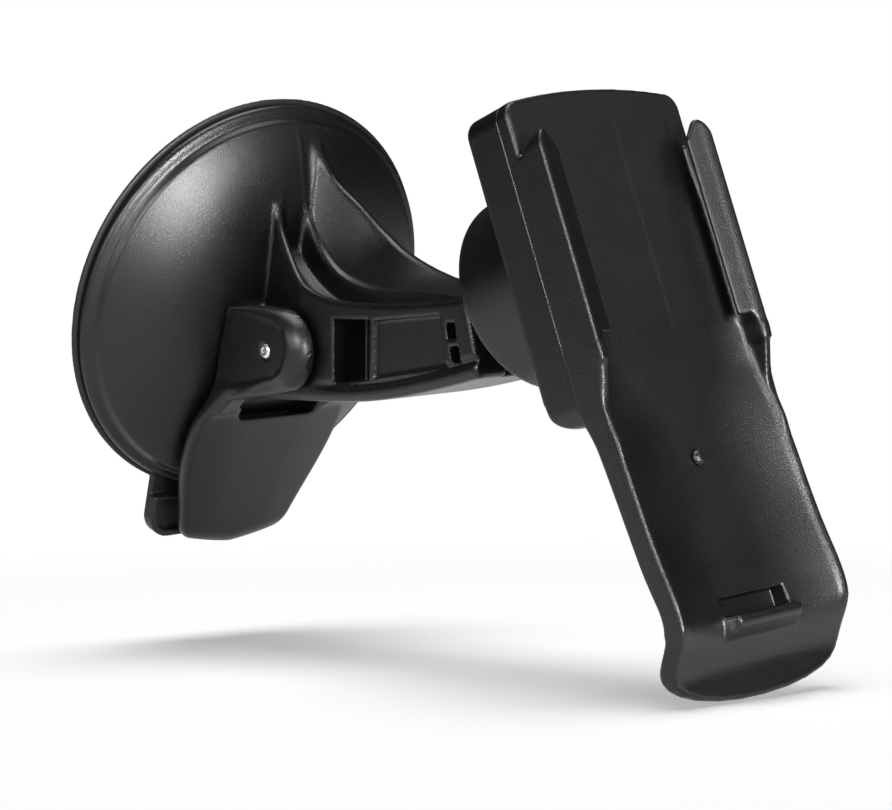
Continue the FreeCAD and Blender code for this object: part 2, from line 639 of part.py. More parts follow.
def cradle_plate():
    back, front = size("plate_back"), size("plate_front")
    bend, knee, lean, foot = size("bend"), size("knee"), size("lean"), size("foot_bottom")
    half, top, corner = size("cradle_half"), size("cradle_top"), size("cradle_corner")
    side = extruded("plate_side", SIDE, [
        (back, top), (back, -bend), (back + lean, 1 - knee, (back + lean - 1.2, -knee - 2.8)),
        (back + 0.3, -knee - 6.0, (back + 0.6, -knee - 9.6)), (size("foot_back"), -foot),
        (size("foot_front"), -foot, (size("foot_front") - 0.6, -knee - 10.0)),
        (front + 0.4, -knee - 6.7, (front + 2.2, -knee - 3.4)), (front + lean, -knee - 0.7),
        (front, -bend), (front, top)], -half, half)
    foot_arc, foot_y, foot_z = (half - 1.6, -knee - 9.1), half - 7.4, 1.6 - foot
    face = extruded("plate_face", FRONT, [
        (-half, corner - 3.0, (-half + 1.0, corner - 0.8)), (-half + 3.4, corner, (0, top)),
        (half - 3.4, corner, (half - 1.0, corner - 0.8)), (half, corner - 3.0),
        (half, -knee - 6.0, foot_arc), (foot_y, foot_z, (0, -foot)),
        (-foot_y, foot_z, (-foot_arc[0], foot_arc[1])), (-half, -knee - 6.0)], 0, 40)
    plate = common("plate_blank", [side, face])
    rails = []
    for hand in (1, -1):
        wall, inner = half - size("rail_wall"), size("rail_inner")
        rails.append(rail_profile(hand, half, wall, inner))
        rails.append(skirt(hand, half, wall))
    boss = rod("spring_boss", "spring_radius", Vector(size("boss_back"), 0, 0), Vector(back + 0.5, 0, 0))
    hook = hook_bar()
    pocket = slab("hook_box", ("hook_box_back", -size("hook_box_half"), -size("hook_box_bottom")),
                  ("hook_floor", size("hook_box_half"), -size("hook_box_top")))
    blank = joined("plate_with_rails", [plate, boss, hook, pocket] + rails)
    gap = size("panel_gap")
    recess = slab("panel_recess", (front - size("panel_thickness") - gap, -size("panel_half") - gap,
                                   -size("panel_top") - gap),
                  (front + 1, size("panel_half") + gap, size("panel_top") + gap))
    window = slab("hook_recess", ("hook_floor", -size("hook_half"), -size("hook_top")),
                  (front + 8, size("hook_half"), -size("hook_window")))
    stud_hole = rod("stud_hole", "stud_radius - screw_gap", Vector(back - 2, 0, -size("stud_drop")),
                    Vector(front + 4, 0, -size("stud_drop")))
    tools = [recess, window, stud_hole]
    for y, z in plate_screw_spots():
        tools.append(rod("screw_hole", "screw_radius + screw_gap", Vector(back - 2, y, z),
                         Vector(front + 2, y, z)))
        tools.append(rod("head_hole", "screw_head + screw_gap", Vector(head_seat(), y, z),
                         Vector(front + 2, y, z)))
    return keep(cut("cradle_plate", blank, joined("plate_tools", tools)), "cradle_plate", HEAD)


def head_seat():
    """Where the plate screws' heads bear, just under the cover panel's recess."""
    return value("plate_front - panel_thickness - panel_gap - screw_head_height")


def plate_screw_spots():
    return [(y * size("plate_screw_y"), z * size("plate_screw_z")) for y in (1, -1) for z in (1, -1)]


def rail_profile(hand, half, wall, inner):
    """One L-shaped rail: a wall on the plate's edge and a lip turned in over the device's groove."""
    front, lip = size("rail_front"), size("rail_lip")
    across = [(size("plate_back") + 0.5, hand * half), (front, hand * half), (front, hand * inner),
              (front - lip, hand * inner), (front - lip, hand * wall), (size("plate_back") + 0.5, hand * wall)]
    pose = Placement(Vector(0, 0, 0), Rotation())
    return extruded("rail", pose, across, -size("rail_bottom"), "rail_top")


def skirt(hand, half, wall):
    """The lower wall that carries on below each rail and fades into the plate's edge."""
    low, high = (wall, half) if hand > 0 else (-half, -wall)
    return extruded("skirt", SIDE, [
        (size("plate_back") + 0.5, -size("rail_bottom") + 1), ("skirt_front", -size("rail_bottom") + 1),
        ("skirt_front", -size("skirt_bottom")), (size("rim_front"), 2.5 - size("knee")),
        (size("rim_front") - 1.6, -size("knee") - 2.5), (size("plate_front") + 1.0, -size("knee") - 1.0),
        (size("plate_back") + 0.8, -size("bend") - 4.0)], low, high)


def hook_bar():
    top, thick = size("hook_top"), size("hook_thickness")
    return extruded("hook_bar", SIDE, [
        ("plate_front", -top - thick - 1.2), (size("hook_front"), -top - thick), (size("hook_front"), -top),
        ("plate_front", -top)], -size("hook_half"), "hook_half")


def socket_cover():
    front = size("plate_front")
    panel = slab("socket_cover", (front - size("panel_thickness"), -size("panel_half"), -size("panel_top")),
                 (front, size("panel_half"), size("panel_top")))
    return keep(panel, "socket_cover", HEAD)


def locating_stud():
    body = new_body("locating_stud")
    drop, radius = size("stud_drop"), size("stud_radius")
    surface = size("plate_front") + size("lean") * (drop - size("bend")) / (size("knee") - size("bend"))
    stem = radius - 2 * size("screw_gap")
    revolve(body, [
        (surface - 3.2, 0), (surface - 3.2, stem), (surface + 0.15, stem),
        (surface + 0.15, radius + 0.1, (surface + 0.7, radius * 0.75)), (surface + 0.9, 0)])
    pose = HEAD.multiply(Placement(Vector(0, 0, -drop), Rotation()))
    return keep(body, "locating_stud", pose)


suction_membrane()
base_dome()
draw_plate()
draw_post()
pivot_pin()
thrust_washers()
cam_lever()
ball_stud()
stud_nut()
ball_shell("friction_ring", 180 - size("ring_to"), 180 - size("ring_from"))
ball_shell("pressure_cup", 0, size("cup_to"))
retaining_ring()
socket_housing()
backing_disc()
wave_washer()
cradle_plate()
socket_cover()
screws("plate_screws", plate_screw_spots(), head_seat(), 6.8, 1)
screws("ring_screws", ring_screw_spots(), 0.1 + size("screw_head_height") - size("barrel_back"), 14.5, -1)
locating_stud()
doc.recompute()

os.makedirs("parts", exist_ok=True)
for piece, label in pieces:
    shape = piece.Shape
    if "Invalid" in piece.State or "Error" in piece.State or shape.isNull() or not shape.isValid():
        raise RuntimeError("%s did not build: %s" % (label, piece.State))
    print(label, "solids", len(shape.Solids), "volume", round(shape.Volume, 1))
    shape.exportStep("parts/%s.step" % label)
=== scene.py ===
import json
import math
import bpy
import numpy as np
import openvdb
from mathutils import Matrix, Vector


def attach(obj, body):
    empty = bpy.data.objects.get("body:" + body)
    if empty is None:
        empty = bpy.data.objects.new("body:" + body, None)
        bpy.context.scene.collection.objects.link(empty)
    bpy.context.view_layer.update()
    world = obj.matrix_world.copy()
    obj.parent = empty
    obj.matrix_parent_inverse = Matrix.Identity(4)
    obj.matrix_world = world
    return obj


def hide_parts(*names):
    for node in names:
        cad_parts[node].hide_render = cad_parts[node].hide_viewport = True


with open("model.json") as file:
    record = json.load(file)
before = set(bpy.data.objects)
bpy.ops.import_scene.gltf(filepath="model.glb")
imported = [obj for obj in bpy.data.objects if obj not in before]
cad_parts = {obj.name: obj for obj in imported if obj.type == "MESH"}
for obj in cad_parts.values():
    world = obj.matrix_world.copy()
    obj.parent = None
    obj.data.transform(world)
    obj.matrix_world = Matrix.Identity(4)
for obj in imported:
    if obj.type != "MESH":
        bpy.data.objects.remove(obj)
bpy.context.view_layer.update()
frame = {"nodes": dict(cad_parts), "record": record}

MM = 0.001

# Sizes are in mm. The mount's frame has X from the glass to the arm, Z up and Y along the pivot pin.
# The cradle's own frame starts at the ball's centre, with X out of its face and Z up its length.
BALL = (89.2, 0.0, 35.7)
TURN, TILT_BACK = 2.9, 38.2
NECK = 44.0
HEAD = (Matrix.Translation(Vector(BALL)) @ Matrix.Rotation(math.radians(TURN), 4, "Z")
        @ Matrix.Rotation(math.radians(-TILT_BACK), 4, "Y"))
ROW = Matrix.Identity(4)


# ---- fields: signed distances sampled on a lattice, negative inside ----

STEP = 0.36      # spacing of the samples
BAND = 3.0                              # distance kept on each side of a surface, in samples
MARGIN = 3                              # samples left free around a piece
PROBE = 0.25                            # reach of a slope measurement, in samples
SETTLE = 3                              # rounds that draw the corners onto the exact surface
CREASE = math.radians(50)               # sharper edges of a turned piece stay sharp


class Space:
    """A lattice of sample points between two corners."""

    def __init__(self, low, high, step=STEP):
        self.step = step
        self.low = np.array(low, float) - MARGIN * step
        counts = [int(math.ceil((top - start) / step)) + MARGIN + 1 for start, top in zip(self.low, high)]
        lines = [np.float32(start + step * np.arange(count)) for start, count in zip(self.low, counts)]
        self.x = lines[0][:, None, None]
        self.y = lines[1][None, :, None]
        self.z = lines[2][None, None, :]
        self.shape = tuple(counts)


def polygon(u, v, corners):
    """Distance to a closed outline in a plane."""
    corners = [tuple(map(float, corner)) for corner in corners]
    nearest = np.full(np.broadcast(u, v).shape, 1e9, np.float32)
    inside = np.zeros(nearest.shape, bool)
    for (au, av), (bu, bv) in zip(corners, corners[1:] + corners[:1]):
        eu, ev = bu - au, bv - av
        if eu == 0 and ev == 0:
            continue
        wu, wv = u - au, v - av
        along = np.clip((wu * eu + wv * ev) / (eu * eu + ev * ev), 0, 1)
        nearest = np.minimum(nearest, (wu - eu * along) ** 2 + (wv - ev * along) ** 2)
        if ev:
            inside ^= ((av > v) != (bv > v)) & (wu < eu * wv / ev)
    return np.where(inside, -1, 1).astype(np.float32) * np.sqrt(nearest)


def smooth(points):
    """A natural cubic spline through (at, value) points, held level beyond its ends."""
    at, values = np.array(points, float).T
    gaps = np.diff(at)
    count = len(at)
    system, right = np.eye(count), np.zeros(count)
    for i in range(1, count - 1):
        system[i, i - 1:i + 2] = gaps[i - 1], 2 * (gaps[i - 1] + gaps[i]), gaps[i]
        right[i] = 6 * ((values[i + 1] - values[i]) / gaps[i] - (values[i] - values[i - 1]) / gaps[i - 1])
    bend = np.linalg.solve(system, right)

    def read(where):
        where = np.clip(where, at[0], at[-1])
        i = np.clip(np.searchsorted(at, where) - 1, 0, count - 2)
        t, gap = where - at[i], gaps[i]
        slope = (values[i + 1] - values[i]) / gap - gap * (2 * bend[i] + bend[i + 1]) / 6
        found = values[i] + t * slope + t * t * bend[i] / 2 + t ** 3 * (bend[i + 1] - bend[i]) / (6 * gap)
        return np.float32(found)
    return read


def ramp(value, low, high):
    """0 below low and 1 above high, with soft ends."""
    t = np.clip((value - low) / (high - low), 0, 1)
    return t * t * (3 - 2 * t)


def weld(a, b, radius):
    """Union with a fillet."""
    h = np.clip(0.5 + 0.5 * (b - a) / radius, 0, 1)
    return b + (a - b) * h - radius * h * (1 - h)


def meet(a, b, radius):
    """Intersection with a rounded edge."""
    return -weld(-a, -b, radius)


def carve(a, tool, radius=0.4):
    """Cut with a rounded edge."""
    return meet(a, -tool, radius)


def pillar(space, y, z, radius):
    """An endless round bar along X."""
    return np.sqrt((space.y - y) ** 2 + (space.z - z) ** 2) - radius


def turned(space, corners):
    """A profile of (x, distance from the X axis) corners turned about X."""
    reach = np.sqrt(space.y ** 2 + space.z ** 2)
    line = np.float32(np.arange(0, reach.max() + 2 * space.step, space.step))
    table = polygon(space.x[:, :, 0], line[None, :], corners)
    place = reach[0] / space.step
    low = np.floor(place).astype(int)
    part = np.float32(place - low)
    return table[:, low] * (1 - part) + table[:, low + 1] * part


def rod(space, start, end, radius):
    """A round bar between two points."""
    start, end = np.array(start, float), np.array(end, float)
    length = np.linalg.norm(end - start)
    ux, uy, uz = (end - start) / length
    px, py, pz = space.x - start[0], space.y - start[1], space.z - start[2]
    along = np.float32(px * ux + py * uy + pz * uz)
    across = np.sqrt(np.maximum(px * px + py * py + pz * pz - along * along, 0))
    return np.maximum(across - radius, np.abs(along - length / 2) - length / 2)


def box(space, low, high, radius=0.0):
    """A block with rounded edges."""
    sides = []
    for line, start, end in zip((space.x, space.y, space.z), low, high):
        sides.append(np.abs(line - (start + end) / 2) - (end - start) / 2 + radius)
    inner = np.minimum(np.maximum(np.maximum(sides[0], sides[1]), sides[2]), 0)
    outer = np.sqrt(sum(np.maximum(side, 0) ** 2 for side in sides))
    return inner + outer - radius


def sample(field, place):
    """Values of a field between its lattice points."""
    low = np.clip(np.floor(place).astype(int), 0, np.array(field.shape) - 2)
    part = place - low
    found = 0.0
    for dx in (0, 1):
        for dy in (0, 1):
            for dz in (0, 1):
                share = (np.abs(1 - dx - part[:, 0]) * np.abs(1 - dy - part[:, 1])
                         * np.abs(1 - dz - part[:, 2]))
                found = found + share * field[low[:, 0] + dx, low[:, 1] + dy, low[:, 2] + dz]
    return found


def skin(name, space, field, place=ROW):
    """The mesh of a field's surface, as an object in metres in the row frame."""
    field = np.broadcast_to(np.float32(field), space.shape) / space.step
    grid = openvdb.FloatGrid(BAND)
    grid.copyFromArray(np.ascontiguousarray(np.clip(field, -BAND, BAND)))
    points, triangles, quads = grid.convertToPolygons(isovalue=0.0, adaptivity=0.0)
    points = points.astype(float)
    flattest, furthest = 0.2, 0.3
    for _ in range(SETTLE):
        value = sample(field, points)
        slope = np.stack([(sample(field, points + nudge) - sample(field, points - nudge)) / (2 * PROBE)
                          for nudge in PROBE * np.eye(3)], axis=1)
        steep = np.maximum((slope ** 2).sum(axis=1), flattest)
        points = points - np.clip(value / steep, -furthest, furthest)[:, None] * slope
    points = space.low + points * space.step
    faces = [tuple(face) for face in triangles] + [tuple(face) for face in quads]
    mesh = bpy.data.meshes.new(name)
    mesh.from_pydata(points.tolist(), [], faces)
    mesh.transform(Matrix.Scale(MM, 4) @ place)
    mesh.update()
    mesh.polygons.foreach_set("use_smooth", [True] * len(mesh.polygons))
    piece = bpy.data.objects.new(name, mesh)
    bpy.context.scene.collection.objects.link(piece)
    return piece


def lathe(name, profile, place, turns=96):
    """A closed profile of (along, radius) points turned about the local X axis."""
    points, faces = [], []
    for along, radius in profile:
        for turn in range(turns):
            angle = 2 * math.pi * turn / turns
            points.append((along, radius * math.cos(angle), radius * math.sin(angle)))
    for ring in range(len(profile) - 1):
        for turn in range(turns):
            following = (turn + 1) % turns
            faces.append((ring * turns + turn, ring * turns + following,
                          (ring + 1) * turns + following, (ring + 1) * turns + turn))
    faces.append(tuple(reversed(range(turns))))
    faces.append(tuple(range((len(profile) - 1) * turns, len(profile) * turns)))
    mesh = bpy.data.meshes.new(name)
    mesh.from_pydata(points, [], faces)
    mesh.transform(Matrix.Scale(MM, 4) @ place)
    mesh.polygons.foreach_set("use_smooth", [True] * len(mesh.polygons))
    mesh.set_sharp_from_angle(angle=CREASE)
    piece = bpy.data.objects.new(name, mesh)
    bpy.context.scene.collection.objects.link(piece)
    return piece


# ---- materials ----

def plastic(name, colour, roughness, grain, bump, specular=0.5):
    """Moulded plastic: fine spark grain in the gloss and the relief, and slow changes of shade."""
    patch = 14                      # size of the slow changes
    darker, lighter = 0.86, 1.18    # how far the shade drifts
    material = bpy.data.materials.new(name)
    material.use_nodes = True
    nodes, links = material.node_tree.nodes, material.node_tree.links
    shader = nodes["Principled BSDF"]
    where = nodes.new("ShaderNodeTexCoord")

    def noise(scale, detail, soft=0.5):
        made = nodes.new("ShaderNodeTexNoise")
        made.inputs["Scale"].default_value = scale
        made.inputs["Detail"].default_value = detail
        made.inputs["Roughness"].default_value = soft
        links.new(where.outputs["Object"], made.inputs["Vector"])
        return made.outputs["Fac"]

    def spread(source, low, high):
        made = nodes.new("ShaderNodeMapRange")
        for socket, number in (("From Min", 0.3), ("From Max", 0.7), ("To Min", low), ("To Max", high)):
            made.inputs[socket].default_value = number
        links.new(source, made.inputs["Value"])
        return made.outputs["Result"]

    fine = noise(1 / (grain * MM), 2.0, 0.6)
    slow = noise(1 / (patch * MM), 3.0)
    blend = nodes.new("ShaderNodeMix")
    blend.data_type = "RGBA"
    blend.inputs["A"].default_value = (*[part * darker for part in colour], 1)
    blend.inputs["B"].default_value = (*[min(1, part * lighter) for part in colour], 1)
    links.new(slow, blend.inputs["Factor"])
    links.new(blend.outputs["Result"], shader.inputs["Base Color"])
    total = nodes.new("ShaderNodeMath")
    total.operation = "ADD"
    links.new(spread(slow, roughness - 0.03, roughness + 0.03), total.inputs[0])
    links.new(spread(fine, -0.05, 0.05), total.inputs[1])
    links.new(total.outputs["Value"], shader.inputs["Roughness"])
    relief = nodes.new("ShaderNodeBump")
    relief.inputs["Strength"].default_value = 1.0
    relief.inputs["Distance"].default_value = bump * MM
    links.new(fine, relief.inputs["Height"])
    links.new(relief.outputs["Normal"], shader.inputs["Normal"])
    shader.inputs["Specular IOR Level"].default_value = specular
    return material


def metal(name, colour, roughness):
    """Turned or plated steel: a fine, slightly uneven gloss."""
    material = plastic(name, colour, roughness, grain=0.25, bump=0.004)
    material.node_tree.nodes["Principled BSDF"].inputs["Metallic"].default_value = 1.0
    return material


SHELL = plastic("shell_plastic", (0.0055, 0.0055, 0.0058), 0.31, grain=0.29, bump=0.055)
LEVER = plastic("lever_plastic", (0.0055, 0.0055, 0.0058), 0.36, grain=0.26, bump=0.008)
CRADLE = plastic("cradle_plastic", (0.006, 0.006, 0.0063), 0.34, grain=0.30, bump=0.065)
RUBBER = plastic("soft_rubber", (0.012, 0.012, 0.0122), 0.5, grain=0.4, bump=0.01, specular=0.4)
PIN = metal("turned_pin", (0.82, 0.82, 0.84), 0.3)
STEEL = metal("plated_steel", (0.55, 0.55, 0.57), 0.34)
BALL_STEEL = metal("ground_ball", (0.32, 0.32, 0.34), 0.22)
ACETAL = plastic("natural_acetal", (0.55, 0.55, 0.52), 0.42, grain=0.6, bump=0.006)

SLOT_OF = {"shell": SHELL, "lever_plastic": LEVER, "cradle_plastic": CRADLE, "membrane": RUBBER,
           "pin_steel": PIN, "steel": STEEL, "ball_steel": BALL_STEEL, "acetal": ACETAL}


def finish(piece, body, slot, *nodes):
    """Give a built piece its finish and its body, and hide the CAD nodes that it stands for."""
    piece.data.materials.clear()
    piece.data.materials.append(SLOT_OF[slot])
    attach(piece, body)
    if nodes:
        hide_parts(*nodes)
    return piece


# ---- suction cup ----

def suction_membrane():
    """The soft disc with its lip, the socket for the draw plate and the pull tab."""
    space = Space((-0.3, -43, -52), (9, 43, 43))
    disc = turned(space, [
        (1.0, 0), (2.8, 0), (2.8, 18.3), (7.1, 18.3), (7.1, 5.1), (8.4, 5.1), (8.4, 21.0), (3.0, 21.0),
        (3.0, 36.0), (1.15, 36.4), (1.05, 41.4), (0.85, 41.9), (0.35, 41.95), (0.02, 41.6), (0.02, 36.0),
        (1.0, 29.0)])
    half, end, corner = 18.0, 51.2, 5.0
    grip, web, grip_top = 3.2, 1.3, -41.6
    root, border, hollow_top, floor_back = -36, 1.5, -42.6, 1.7
    across = np.abs(space.y[0, :, :])
    tall = space.z[0]
    outline = np.maximum(across - half, -end - tall)
    bend = np.sqrt(np.maximum(across - half + corner, 0) ** 2
                   + np.maximum(-end + corner - tall, 0) ** 2) - corner
    outline = np.where((across > half - corner) & (tall < corner - end), bend, outline)[None]
    thick = np.where(space.z < grip_top, grip, web)
    tab = meet(meet(outline, space.x - thick, 0.5), 0.0 - space.x, 0.4)
    tab = np.maximum(tab, space.z - root)
    hollow = np.maximum(np.maximum(outline + border, floor_back - space.x), space.z - hollow_top)
    tab = carve(tab, hollow, 0.3)
    piece = skin("suction_membrane_soft", space, weld(disc, tab, 0.5))
    for point in piece.data.vertices:
        point.co.x = max(point.co.x, 0.0)
    return finish(piece, "base", "membrane", "suction_membrane")


# ---- dome and arm ----

DOME_EDGE, DOME_FOOT, DOME_TOP, DOME_SWELL = 41.0, 3.0, 14.0, 2.7
FORK = 0.284            # how fast the two fins draw together towards the dome
FORK_START = 30         # where along the arm they start to
ARM_HALF = 10.85
PIN_AT = (28.2, 0.0)    # the pivot pin's X and Z


def dome_height(reach):
    """How far the dome's outside stands from the glass."""
    return DOME_FOOT + (DOME_TOP - DOME_FOOT) * (1 - (reach / DOME_EDGE) ** DOME_SWELL)


def neck_point(distance):
    """A point on the ball's neck, a distance behind the ball."""
    angle = math.radians(NECK)
    return (BALL[0] - distance * math.cos(angle), 0.0, BALL[2] - distance * math.sin(angle))


LOWER_EDGE = smooth([(0, -18.6), (13, -15.9), (18.6, -14.3), (27, -11.2), (35, -8.2), (52, -1.6),
                     (70.5, 7.9), (84, 16.0), (92, 21)])
NEAR_RIDGE = smooth([(0, 24.6), (9, 24.6), (11, 23.8), (14, 20.8), (18, 18.2), (22.5, 16.2), (28, 14.4),
                     (32, 13.9), (37, 14.1), (48.7, 17.2), (60, 21.2), (74.2, 27.3), (90, 34)])
FAR_RIDGE = smooth([(0, 34.6), (5.6, 34.6), (7.5, 33.8), (12, 30.2), (20.3, 26.4), (26.4, 23.7), (33, 21.7),
                    (40.6, 21.1), (53.5, 22.0), (65, 25.2), (76, 28.8), (90, 34)])
INNER_EDGE = smooth([(0, 32.4), (6, 32.4), (7.6, 31.0), (9.9, 26.3), (15, 19.4), (20, 15.9), (25.3, 14.1),
                     (30, 13.9), (36.3, 14.8), (50.6, 19.6), (59.0, 22.0), (76, 27.8), (90, 33)])
VALLEY = smooth([(0, 15), (12, 15), (15, 13.0), (20, 10.6), (28, 9.0), (36, 10.2), (46, 13.4), (58, 18.3),
                 (70, 24.0), (78, 27.2), (90, 32)])


def arm_top(space):
    """Height of the arm's upper surface over its width: near ridge, valley, inner edge, far ridge."""
    x = space.x[:, :, 0]
    y = space.y[0, :, 0]
    near, far, inner, valley = (curve(x[:, 0]) for curve in (NEAR_RIDGE, FAR_RIDGE, INNER_EDGE, VALLEY))
    drift = np.clip((FORK_START - x[:, 0]) * FORK, 0, 6.5)
    heights = np.empty((x.shape[0], y.shape[0]), np.float32)
    for row in range(x.shape[0]):
        start = -9.3 + drift[row]
        stops = [-13, start, start + 1.4, max(-2.0, start + 2.1), 0.7, 1.6, 2.9,
                 8.9 - 0.62 * drift[row], 13]
        tops = [near[row], near[row], valley[row] + 0.8, valley[row], valley[row] + 0.6, inner[row] - 0.3,
                inner[row] - 0.1, far[row], far[row]]
        heights[row] = np.interp(y, stops, tops)
    softness = 0.45
    spread = max(1, int(round(softness / space.step)))
    kernel = np.ones(2 * spread + 1) / (2 * spread + 1)
    padded = np.pad(heights, ((0, 0), (spread, spread)), mode="edge")
    softened = np.apply_along_axis(lambda line: np.convolve(line, kernel, "valid"), 1, padded)
    return softened.astype(np.float32)


def base_dome():
    """The stiff dome and the arm, one moulding."""
    space = Space((0.8, -41.5, -41.5), (88, 41.5, 41.5))
    reach = [40.9 * math.cos(math.pi * k / 60) for k in range(31)]
    rim = [(1.3, 0), (1.3, 40.7), (1.55, 41.0), (2.35, 41.0), (2.85, 40.7), (3.2, 40.0), (3.55, 38.95),
           (3.9, 38.75)]
    bowl = [(dome_height(r), r) for r in reach if r < 38.3]
    shell = turned(space, rim + bowl)
    top = arm_top(space)[:, :, None]
    slope_x = np.gradient(top[:, :, 0], space.step, axis=0)[:, :, None]
    slope_y = np.gradient(top[:, :, 0], space.step, axis=1)[:, :, None]
    over = (space.z - top) / np.sqrt(1 + slope_x ** 2 + slope_y ** 2)
    lower = LOWER_EDGE(space.x)
    lean = np.gradient(lower[:, 0, 0], space.step)[:, None, None]
    level = (space.z - lower) / np.sqrt(1 + lean ** 2)
    out = ramp(space.x, 36, 50)
    groove = 0.7 * np.exp(-((level - 3.3) / 0.6) ** 2)
    half = ARM_HALF + out * (0.15 * ramp(level, 3.0, 2.6) - groove)
    inward = np.clip((FORK_START - space.x) * FORK, 0, 7) * ramp(space.z, 0.5, 4)
    side = np.abs(space.y) - half + inward * np.where(space.y > 0, 0.66, 1.0)
    body = meet(meet(over, side, 0.9), -level, 1.7)
    end_x, end_z, end_angle = 84.0, 16.0, math.radians(58.8)
    end = (space.x - end_x) * math.sin(end_angle) + (space.z - end_z) * math.cos(end_angle)
    body = meet(body, end, 1.2)
    body = np.maximum(body, 5.0 - space.x)
    pocket = [(44.3, -1.0), (41.0, 11.0), (51.6, 14.9), (54.3, 4.0)]
    panel = [(55.3, 4.5), (52.7, 15.1), (70.4, 22.9), (74.6, 14.6)]
    hatches = [[(x, z), (x - 1.3, z + 2.5), (x + 0.9, z + 3.5), (x + 2.2, z + 1.0)]
               for x, z in ((73.8, 19.6), (76.0, 15.9))]
    pocket_floor, panel_floor, hatch_floor = 3.6, 10.8, 8.4
    for sign in (-1, 1):
        wall = sign * space.y
        recesses = [(pocket, pocket_floor, 0.9, 0.4), (panel, panel_floor, 0.9, 0.5)]
        recesses += [(hatch, hatch_floor, 0.3, 0.3) for hatch in hatches]
        for corners, floor_at, round_corner, round_edge in recesses:
            recess = polygon(space.x[:, 0], space.z[0], corners)[:, None, :]
            recess = np.maximum(recess + round_corner, floor_at - wall) - round_corner
            body = carve(body, recess, round_edge)
    solid = weld(shell, body, 1.2)
    seat_in, seat_out, seat_face, seat_low, seat_high = 11.2, 14.4, 13.95, -9.0, 3.0
    for sign in (-1, 1):
        low_y, high_y = sorted((sign * seat_in, sign * seat_out))
        seat = box(space, (3.0, low_y, seat_low), (seat_face, high_y, seat_high), 0.6)
        solid = weld(solid, seat, 0.8)
    boss_radius, shank_hole = 8.0, 2.55
    solid = weld(solid, rod(space, neck_point(26), neck_point(12.6), boss_radius), 1.0)
    out_from_axis = np.sqrt(space.y ** 2 + space.z ** 2)
    shell_wall, rim_inside = 2.4, 36.6
    hollow = (space.x - dome_height(out_from_axis) + shell_wall) * 0.9
    hollow = np.maximum(hollow, out_from_axis - rim_inside)
    solid = carve(solid, hollow, 0.4)
    post_bore, bore_end, sleeve_radius, sleeve_start, sleeve_end = 4.56, 32.5, 6.7, 8.7, 14
    sleeve = np.maximum(sleeve_start - space.x, space.x - sleeve_end)
    solid = np.minimum(solid, np.maximum(out_from_axis - sleeve_radius, sleeve))
    solid = carve(solid, np.maximum(out_from_axis - post_bore, space.x - bore_end), 0.2)
    slot_middle, slot_half, slot_radius = 26.95, 1.25, 1.6
    past_slot = np.maximum(np.abs(space.x - slot_middle) - slot_half, 0)
    solid = carve(solid, np.sqrt(past_slot ** 2 + space.z ** 2) - slot_radius, 0.2)
    solid = carve(solid, rod(space, neck_point(25), neck_point(11), shank_hole), 0.2)
    angle = math.radians(NECK)
    nut_x, _, nut_z = neck_point(17.0)
    along = (space.x - nut_x) * math.cos(angle) + (space.z - nut_z) * math.sin(angle)
    up = -(space.x - nut_x) * math.sin(angle) + (space.z - nut_z) * math.cos(angle)
    nut_half, nut_side, nut_top = 2.1, 4.05, 4.7
    nut = np.maximum(np.maximum(np.abs(along) - nut_half, np.abs(space.y) - nut_side), up - nut_top)
    solid = carve(solid, nut, 0.3)
    piece = skin("dome_and_arm", space, solid)
    return finish(piece, "base", "shell", "base_dome")


# ---- lever ----

PADDLE_FACE = smooth([(-55, 7.2), (-48, 8.5), (-40, 10.3), (-30, 12.9), (-22, 15.2), (-16, 17.6),
                      (-12, 20.4), (-8, 24.6)])
PADDLE_HALF = smooth([(-60, 11.0), (-54, 12.0), (-48, 13.3), (-40, 15.5), (-31, 17.7), (-25, 18.4),
                      (-20, 18.1), (-15, 16.7), (-12, 16.2), (0, 16.2)])
EAR_INSIDE, EAR_OUTSIDE = 11.6, 16.2


